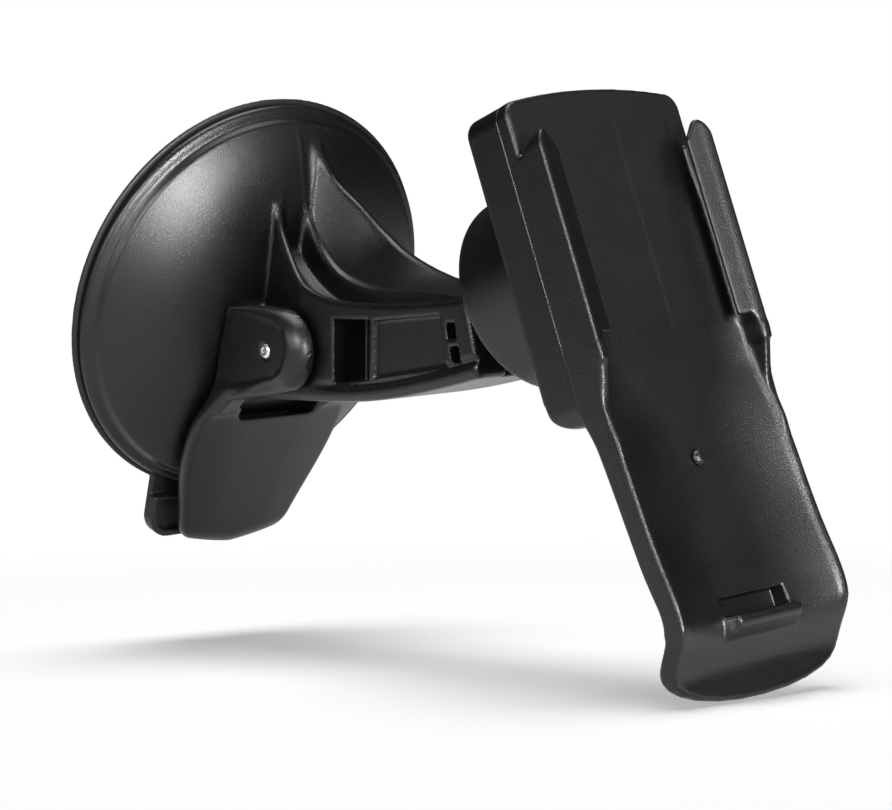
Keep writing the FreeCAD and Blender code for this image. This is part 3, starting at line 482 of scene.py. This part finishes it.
def cam_lever():
    """The fork with its two cam ears, and the paddle below them."""
    space = Space((3, -19.5, -55), (40.5, 19.5, 10.5))
    cam_x, cam_z, cam_radius = 31, 1, 8
    ring = [(cam_x + cam_radius * math.cos(math.radians(angle)),
             cam_z + cam_radius * math.sin(math.radians(angle))) for angle in range(104, -64, -8)]
    outline = [(15.7, 4.5), (22.0, 6.9)] + ring + [
        (24.4, -11.3), (20.0, -13.8), (17.6, -17.5), (14.4, -19), (13.9, -13.2), (14.05, -3.0),
        (14.5, 1.5)]
    wide = [(0.0, 4.5), (15.7, 4.5), (22.0, 6.9)] + ring + [
        (24.4, -11.3), (20.0, -13.8), (14, -30), (0, -30)]
    ear = polygon(space.x[:, 0], space.z[0], outline)[:, None, :]
    edge = polygon(space.x[:, 0], space.z[0], wide)[:, None, :]
    bend = 1.0 + 3.4 * ramp(space.x, 24, 33) * ramp(space.z - 0.5 * space.x, -32, -22)
    into = np.clip(edge + bend, 0, bend)
    drop = bend - np.sqrt(np.maximum(bend ** 2 - into ** 2, 0))
    face = polygon(space.x[:, 0], space.z[0], [
        (10, 3.4), (15.4, 4.0), (23, 5.6), (29.2, 6.7), (32.6, 6.2), (34.5, 4.0), (35.0, 1.0), (34.3, -2.0),
        (32.2, -4.3), (26, -7.8), (19.5, -10.9), (10, -14.6)])[:, None, :]
    outer = EAR_OUTSIDE - drop - 0.5 * ramp(-face, -0.1, 0.55)
    ear = np.maximum(np.maximum(ear, np.abs(space.y) - outer), EAR_INSIDE - np.abs(space.y))
    front = PADDLE_FACE(space.z) - 0.018 * np.maximum(np.abs(space.y) - 6, 0) ** 1.6
    lean = 1 / math.sqrt(1 + 0.28 ** 2)
    half = PADDLE_HALF(space.z)
    tip = np.sqrt(np.maximum(np.abs(space.y) / 13.0, 0) ** 2.6 + 1e-6)
    bottom = -53.5 + 2.6 * np.clip(tip, 0, 2)
    thickness = 3.0
    sheet = meet((space.x - front) * lean, (front - thickness - space.x) * lean, 1.3)
    sheet = meet(sheet, np.abs(space.y) - half, 1.5)
    sheet = meet(sheet, bottom - space.z, 4.5)
    sheet = np.maximum(sheet, space.z + 11.5)
    across, tall = np.abs(space.y[0]), space.z[0]
    sill, corner = -20.4, 1.6
    reach = 9.6 + 2.0 * ramp(tall, -17.6, -16.0)
    hole = np.where((across > reach - corner) & (tall < sill + corner),
                    np.sqrt((across - reach + corner) ** 2 + (tall - sill - corner) ** 2) - corner,
                    np.maximum(across - reach, sill - tall))[None]
    lever = carve(weld(ear, sheet, 1.6), hole, 0.7)
    pin_hole = 1.52
    pin_x, pin_z = PIN_AT
    lever = carve(lever, rod(space, (pin_x, -20, pin_z), (pin_x, 20, pin_z), pin_hole), 0.25)
    piece = skin("cam_lever_moulded", space, lever)
    return finish(piece, "lever", "lever_plastic", "cam_lever")


def pivot_pin():
    """The turned pin, with a small centre mark in each end."""
    half = 15.9
    place = Matrix.Translation(Vector((PIN_AT[0], 0, PIN_AT[1]))) @ Matrix.Rotation(math.pi / 2, 4, "Z")
    end = [(half, 0.0), (half - 0.12, 0.42), (half - 0.1, 0.5), (half, 0.62), (half, 1.1),
           (half - 0.32, 1.46), (half - 0.45, 1.5)]
    profile = [(-along, radius) for along, radius in end] + list(reversed(end))
    piece = lathe("pivot_pin_turned", [(along, max(radius, 0.01)) for along, radius in profile], place, 64)
    return finish(piece, "lever", "pin_steel", "pivot_pin")


# ---- cradle, in its own frame ----

# Curves over the cradle's length: the front along the middle and along the edges, and the back.
CENTRE = smooth([(-80, 19.6), (-76, 19.0), (-73, 19.2), (-69.5, 21.2), (-67, 22.1), (-62, 21.7),
                 (-55, 20.9), (-46, 19.8), (-38, 19.0), (-34, 18.8), (-25, 18.8), (0, 18.8), (30, 18.8)])
EDGE = smooth([(-80, 19.8), (-76, 19.2), (-73.5, 19.6), (-71, 21.2), (-69, 23.0), (-67, 24.4),
               (-64.5, 24.9), (-55, 24.0), (-46, 23.1), (-35, 22.3), (-30, 21.6), (-22, 20.9),
               (-10, 20.6), (6, 20.3), (14, 19.0), (18, 18.8), (30, 18.8)])
BACK = smooth([(-80, 17.4), (-76.5, 16.8), (-72, 16.3), (-69, 17.9), (-65, 19.7), (-60, 19.2), (-50, 17.9),
               (-38, 16.6), (-30, 16.05), (-20, 16.0), (30, 16.0)])
SKIRT = smooth([(-70, 22.6), (-66, 24.6), (-64.5, 24.9), (-55, 24.0), (-46, 23.1), (-36, 22.4),
                (-31, 21.8), (-28, 21.5), (-26, 21.9), (-23.5, 22.8), (-21.0, 23.7), (-19.2, 24.3),
                (-17.5, 24.4), (-10, 24.4)])
CRADLE_HALF = 21.4
SCREW_POSTS = [(y, z) for y in (-8.5, 8.5) for z in (-20.4, 20.4)]
SCREW_HOLE = 1.26


def cradle_plate():
    """The plate with its two lipped rails, the skirts, the hook and the foot, and the flush cover."""
    space = Space((11.5, -22, -80), (25.6, 22, 30))
    side = np.abs(space.y)
    z = space.z
    rise = EDGE(z) - CENTRE(z)
    flat = 4.0 + 7.5 * ramp(z, -30, -22)
    curl = np.clip((side - flat) / (CRADLE_HALF - flat), 0, 1) ** 2
    label = (ramp(space.y, 3.3, 3.7) * ramp(-space.y, -16.7, -16.3) * ramp(z, -15.6, -15.2)
             * ramp(-z, -23.2, -22.8))
    label_proud = 0.07
    front = CENTRE(z) + rise * curl + label_proud * label
    front = np.minimum(front, 19.1 + 3 * np.maximum(20.7 - side, 0) + 8 * ramp(-z, 8, 24))
    back = BACK(z) + 0.45 * np.maximum(rise - 0.6, 0) * curl * ramp(z, -26, -34)
    steep = 1 / np.sqrt(1 + (2 * rise * np.sqrt(curl) / (CRADLE_HALF - flat)) ** 2)
    sheet = (space.x - front) * steep
    half, top, corner, foot = CRADLE_HALF, 29.0, 27.4, 79.3
    bend, bend_z, steps, crown_steps = 3.2, corner - 3.0, 6, 12
    outline = [(-half, 20)]
    for step in range(steps + 1):
        angle = math.radians(180 - 90 / steps * step)
        outline.append((-half + bend + bend * math.cos(angle), bend_z + bend * math.sin(angle)))
    for step in range(1, crown_steps):
        at = -half + bend + step * (2 * half - 2 * bend) / crown_steps
        outline.append((at, top - (top - corner - 0.2) * (at / (half - bend)) ** 2))
    for step in range(steps + 1):
        angle = math.radians(90 - 90 / steps * step)
        outline.append((half - bend + bend * math.cos(angle), bend_z + bend * math.sin(angle)))
    toe = [(half, -71.5), (half - 0.25, -73.2), (half - 1.2, -74.9), (half - 3.0, -76.3),
           (half - 6.0, -77.5), (half - 10.5, -78.5), (half - 15.5, -79.1)]
    outline += toe + [(0, -foot)] + [(-y, height) for y, height in reversed(toe)]
    face = polygon(space.y[0], space.z[0], outline)[None]
    plate = meet(meet(sheet, face, 1.0), back - space.x, 0.08 + 0.7 * ramp(-z, 27, 31))
    wall_in, wall_out, lip_in, lip_out, lip_back = 19.1, 21.39, 16.0, 20.4, 22.3
    walls = []
    for hand in (1, -1):
        y = hand * space.y
        wall = np.maximum(np.maximum(wall_in - y, 16.3 - space.x), y - wall_out)
        slant = (space.x - 24.45 + 0.29 * (21.0 - y)) * 0.96
        wall = meet(wall, slant, 0.6)
        lip = np.maximum(np.maximum(lip_in - y, y - lip_out), lip_back - space.x)
        lip = meet(lip, slant, 0.3)
        rail = weld(wall, lip, 0.25)
        crown = 20.7 - 1.25 * np.maximum(18.6 - y, 0) - 0.42 * np.maximum(y - 18.9, 0) ** 2
        rail = meet(rail, (z - crown) * 0.66, 0.5)
        rail = meet(rail, (z - 16.2 - 1.15 * (space.x - 18.6)) * 0.66, 0.5)
        low = -15.2 - 4.8 * ramp(y, 18.9, 19.4)
        rail = meet(rail, low - z, 0.4)
        inner = 19.6 + 0.5 * ramp(z, -26, -32)
        skirt = np.maximum(space.x - SKIRT(z) + 0.8 * ramp(-z, 33, 38), inner - y)
        skirt = np.maximum(meet(skirt, y - wall_out, 1.0), np.maximum(-66.0 - z, z + 17.0))
        skirt = np.maximum(skirt, back - space.x)
        walls.append(weld(rail, skirt, 0.4))
    for wall in walls:
        plate = weld(plate, wall, 1.3)
    plate = meet(plate, face, 0.12 + 0.6 * ramp(-z, 27, 31))
    ledge = polygon(space.x[:, 0], space.z[0], [
        (19, -70.0), (22.0, -69.0), (24.7, -67.6), (25.1, -67.0), (25.1, -66.1), (24.8, -65.7),
        (24.0, -65.6), (19, -65.5)])[:, None, :]
    taper = side - 7.9 - 1.1 * ramp(space.x, 24.8, 22.3)
    hook_half, hook_floor, hook_low, hook_high = 8.0, 19.0, -65.5, -62.2
    case_half, case_back, case_low, case_high = 9.2, 18.0, -68.0, -60.8
    case = box(space, (case_back, -case_half, case_low), (21.0, case_half, case_high), 0.8)
    plate = weld(plate, case, 0.8)
    plate = weld(plate, meet(ledge, taper, 0.4), 0.5)
    window = box(space, (hook_floor, -hook_half, hook_low), (30, hook_half, hook_high), 0.25)
    plate = carve(plate, window, 0.25)
    boss_radius, stud_z, stud_hole = 11.7, -38, 1.3
    plate = weld(plate, rod(space, (12.4, 0, 0), (16.5, 0, 0), boss_radius), 0.4)
    plate = carve(plate, rod(space, (12, 0, stud_z), (26, 0, stud_z), stud_hole), 0.15)
    piece = skin("cradle_plate_moulded", space, plate, HEAD)
    return finish(piece, "cradle", "cradle_plastic", "cradle_plate", "socket_cover")


def socket_housing():
    """The block behind the plate and the round barrel that holds the ball, hollow inside."""
    space = Space((-8.6, -21.6, -29.6), (16.4, 21.6, 28.2))
    side, z, x = np.abs(space.y), space.z, space.x
    reach = np.sqrt(space.y ** 2 + space.z ** 2)
    half, low, high, block_back, block_front = 21.38, -29.0, 27.6, 7.6, 16.0
    outline = box(space, (-60, -half, low), (80, half, high), 3.6)
    block = meet(outline, block_back - x, 1.4)
    bend_x, bend_z, bend = 13.6, -23.3, 5.7
    low_corner = np.sqrt((x - bend_x) ** 2 + (z - bend_z) ** 2) - bend
    low_round = np.where((x < bend_x) & (z < bend_z), low_corner, -5.0)
    block = meet(block, low_round, 0.8)
    block = np.maximum(block, x - block_front)
    barrel_radius, socket_radius, mouth_radius = 18.0, 16.25, 11.96
    barrel = meet(meet(reach - barrel_radius, -8.0 - x, 1.4), x - 10.0, 0.2)
    solid = weld(block, barrel, 1.6)
    room = box(space, (10.1, -18.9, -25.8), (30, 18.9, 24.4), 2.0)
    wall, post_radius = 2.6, 3.0
    room = meet(room, wall + low_round, 0.5)
    posts = np.maximum(reach - 15.36, x - 12.2)
    for y, height in SCREW_POSTS:
        posts = np.minimum(posts, np.maximum(pillar(space, y, height, post_radius), x - block_front))
    room = np.maximum(room, -posts)
    solid = carve(solid, room, 0.4)
    solid = carve(solid, np.maximum(reach - socket_radius, x - 2.05), 0.2)
    solid = carve(solid, reach - mouth_radius, 0.2)
    for y, height in SCREW_POSTS:
        solid = carve(solid, np.maximum(pillar(space, y, height, SCREW_HOLE), 9.4 - x), 0.15)
    screw_circle = 13.9
    for angle in (90, 210, 330):
        y = screw_circle * math.cos(math.radians(angle))
        height = screw_circle * math.sin(math.radians(angle))
        solid = carve(solid, np.maximum(pillar(space, y, height, SCREW_HOLE), x - 9.0), 0.15)
    piece = skin("socket_housing_moulded", space, solid, HEAD)
    return finish(piece, "cradle", "shell", "socket_housing")


suction_membrane()
base_dome()
cam_lever()
pivot_pin()
cradle_plate()
socket_housing()

# ---- the CAD's own pieces ----

NODE_SLOTS = {row["node"]: row["material_slot"] for row in frame["record"]["subparts"]}
NODE_BEVEL = {"ball_stud": 0.2, "retaining_ring": 0.4, "socket_cover": 0.12, "locating_stud": 0.15,
              "stud_nut": 0.3, "plate_screws": 0.2, "ring_screws": 0.25, "thrust_washers": 0.08}
for name, node in frame["nodes"].items():
    node.data.materials.clear()
    node.data.materials.append(SLOT_OF[NODE_SLOTS[name]])
    if name in NODE_BEVEL:
        edge = node.modifiers.new("edge", "BEVEL")
        edge.width = NODE_BEVEL[name] * MM
        edge.segments = 2
        edge.limit_method = "ANGLE"


# ---- floor, light and camera, in metres ----

FLOOR_UP = Vector((-0.40, 0.07, 1.0)).normalized()
FLOOR_RADIUS, FLOOR_GAP = 2.4, 0.0004
FLOOR_GLOW = 0.42                       # own light of the floor near the object
FLOOR_LIT = 0.5                         # light of the far floor in reflections
FADE_START, FADE_END = 0.17, 0.34       # where the floor turns to plain white
lowest = min((Vector(corner.co) for corner in bpy.data.objects["cradle_plate_moulded"].data.vertices),
             key=lambda point: point.dot(FLOOR_UP))


def floor():
    """A pale round floor under the cradle's lowest point, white further out."""
    turn = FLOOR_UP.to_track_quat("Z", "Y").to_matrix().to_4x4()
    middle = Vector((0.07, 0.0, 0.0))
    base = middle - FLOOR_UP * (middle - lowest).dot(FLOOR_UP) - FLOOR_UP * FLOOR_GAP
    rings, spokes = 12, 64
    points = [(0.0, 0.0, 0.0)]
    faces = []
    for ring in range(1, rings + 1):
        for spoke in range(spokes):
            angle = 2 * math.pi * spoke / spokes
            reach = FLOOR_RADIUS * (ring / rings) ** 2
            points.append((reach * math.cos(angle), reach * math.sin(angle), 0.0))
    for spoke in range(spokes):
        following = (spoke + 1) % spokes
        faces.append((0, 1 + spoke, 1 + following))
        for ring in range(rings - 1):
            inner, outer = 1 + ring * spokes, 1 + (ring + 1) * spokes
            faces.append((inner + spoke, outer + spoke, outer + following, inner + following))
    mesh = bpy.data.meshes.new("studio_floor")
    mesh.from_pydata(points, [], faces)
    mesh.transform(Matrix.Translation(base) @ turn)
    plane = bpy.data.objects.new("studio_floor", mesh)
    bpy.context.scene.collection.objects.link(plane)
    material = bpy.data.materials.new("white_floor")
    material.use_nodes = True
    nodes, links = material.node_tree.nodes, material.node_tree.links
    nodes.clear()
    diffuse = nodes.new("ShaderNodeBsdfDiffuse")
    diffuse.inputs["Color"].default_value = (0.8, 0.8, 0.8, 1)
    glow = nodes.new("ShaderNodeEmission")
    glow.inputs["Strength"].default_value = FLOOR_GLOW
    white = nodes.new("ShaderNodeEmission")
    ray = nodes.new("ShaderNodeLightPath")
    bright = nodes.new("ShaderNodeMapRange")
    bright.inputs["To Min"].default_value = FLOOR_LIT
    bright.inputs["To Max"].default_value = 1.0
    spot = nodes.new("ShaderNodeTexCoord")
    apart = nodes.new("ShaderNodeVectorMath")
    apart.operation = "DISTANCE"
    apart.inputs[1].default_value = base
    fade = nodes.new("ShaderNodeMapRange")
    fade.interpolation_type = "SMOOTHSTEP"
    fade.inputs["From Min"].default_value = FADE_START
    fade.inputs["From Max"].default_value = FADE_END
    far = nodes.new("ShaderNodeMixShader")
    both = nodes.new("ShaderNodeAddShader")
    clear = nodes.new("ShaderNodeBsdfTransparent")
    side = nodes.new("ShaderNodeNewGeometry")
    pick = nodes.new("ShaderNodeMixShader")
    out = nodes.new("ShaderNodeOutputMaterial")
    links.new(diffuse.outputs[0], both.inputs[0])
    links.new(glow.outputs[0], both.inputs[1])
    links.new(ray.outputs["Is Camera Ray"], bright.inputs["Value"])
    links.new(bright.outputs["Result"], white.inputs["Strength"])
    links.new(side.outputs["Backfacing"], pick.inputs[0])
    links.new(spot.outputs["Object"], apart.inputs[0])
    links.new(apart.outputs["Value"], fade.inputs["Value"])
    links.new(fade.outputs["Result"], far.inputs[0])
    links.new(both.outputs[0], far.inputs[1])
    links.new(white.outputs[0], far.inputs[2])
    links.new(far.outputs[0], pick.inputs[1])
    links.new(clear.outputs[0], pick.inputs[2])
    links.new(pick.outputs[0], out.inputs["Surface"])
    mesh.materials.append(material)


def lamp(name, place, aim, size, power, shape, size_y=None):
    """A soft box; the rectangular ones only shape the plastic's highlights."""
    light = bpy.data.lights.new(name, "AREA")
    light.shape = shape
    light.size = size
    if size_y:
        light.size_y = size_y
    light.energy = power
    made = bpy.data.objects.new(name, light)
    made.visible_diffuse = shape == "SQUARE"
    made.location = Vector(place)
    made.rotation_mode = "QUATERNION"
    made.rotation_quaternion = (Vector(aim) - Vector(place)).to_track_quat("-Z", "Y")
    bpy.context.scene.collection.objects.link(made)


def heading(azimuth, elevation):
    """A direction: azimuth 0 is the near side, 90 is out of the cradle."""
    across, up = math.radians(azimuth), math.radians(elevation)
    return Vector((math.sin(across) * math.cos(up), -math.cos(across) * math.cos(up), math.sin(up)))


def toward(azimuth, elevation, distance):
    """A place at a direction and distance from the object's middle."""
    return CENTRE_POINT + distance * heading(azimuth, elevation)


CENTRE_POINT = Vector((0.065, 0.0, 0.0))
DOME_FACE = Vector((0.008, -0.024, 0.022))
KEY_SIDE = Vector((0.943, -0.075, 0.310))

floor()
lamp("overhead", CENTRE_POINT + FLOOR_UP * 1.1, CENTRE_POINT, 0.8, 10.2, "SQUARE")
lamp("key_box", DOME_FACE + KEY_SIDE * 0.8, DOME_FACE, 0.28, 22.0, "RECTANGLE", 0.46)
lamp("edge_box", toward(28, 36, 1.0), CENTRE_POINT, 0.3, 7.0, "RECTANGLE", 0.25)
lamp("fin_panel", toward(-3, 18, 1.0), CENTRE_POINT, 0.5, 2.5, "RECTANGLE", 0.28)
lamp("plate_panel", toward(156, 42, 1.0), CENTRE_POINT, 0.6, 0.28, "RECTANGLE", 0.24)
lamp("curl_panel", toward(101, 52, 0.9), CENTRE_POINT, 0.34, 0.9, "RECTANGLE", 0.30)
lamp("paddle_panel", toward(125, 4, 0.9), CENTRE_POINT, 0.25, 0.03, "RECTANGLE", 0.22)

WORLD_LIT = 0.04
world = bpy.data.worlds.new("studio")
world.use_nodes = True
bpy.context.scene.world = world
sky_nodes, sky_links = world.node_tree.nodes, world.node_tree.links
sky_nodes.clear()
seen = sky_nodes.new("ShaderNodeBackground")
seen.inputs["Color"].default_value = (1, 1, 1, 1)
lit = sky_nodes.new("ShaderNodeBackground")
lit.inputs["Color"].default_value = (1, 1, 1, 1)
lit.inputs["Strength"].default_value = WORLD_LIT
kind = sky_nodes.new("ShaderNodeLightPath")
mix = sky_nodes.new("ShaderNodeMixShader")
sky_out = sky_nodes.new("ShaderNodeOutputWorld")
sky_links.new(kind.outputs["Is Camera Ray"], mix.inputs[0])
sky_links.new(lit.outputs[0], mix.inputs[1])
sky_links.new(seen.outputs[0], mix.inputs[2])
sky_links.new(mix.outputs[0], sky_out.inputs["Surface"])

AZIMUTH, ELEVATION, ROLL, DISTANCE = 47.5135, 20.0678, 10.7447, 0.5
AIM = Vector((0.06524, -0.00023, 0.00224))
LENS, SENSOR = 107.87, 36.0
away = heading(AZIMUTH, ELEVATION)
view = bpy.data.cameras.new("view")
view.lens = LENS
view.sensor_width = SENSOR
view.clip_start, view.clip_end = 0.01, 20.0
camera = bpy.data.objects.new("view", view)
camera.location = AIM + away * DISTANCE
camera.rotation_mode = "QUATERNION"
camera.rotation_quaternion = ((-away).to_track_quat("-Z", "Y")
                              @ Matrix.Rotation(math.radians(ROLL), 4, "Z").to_quaternion())
bpy.context.scene.collection.objects.link(camera)
bpy.context.scene.camera = camera
bpy.context.scene.view_settings.view_transform = "Standard"

bpy.context.view_layer.update()
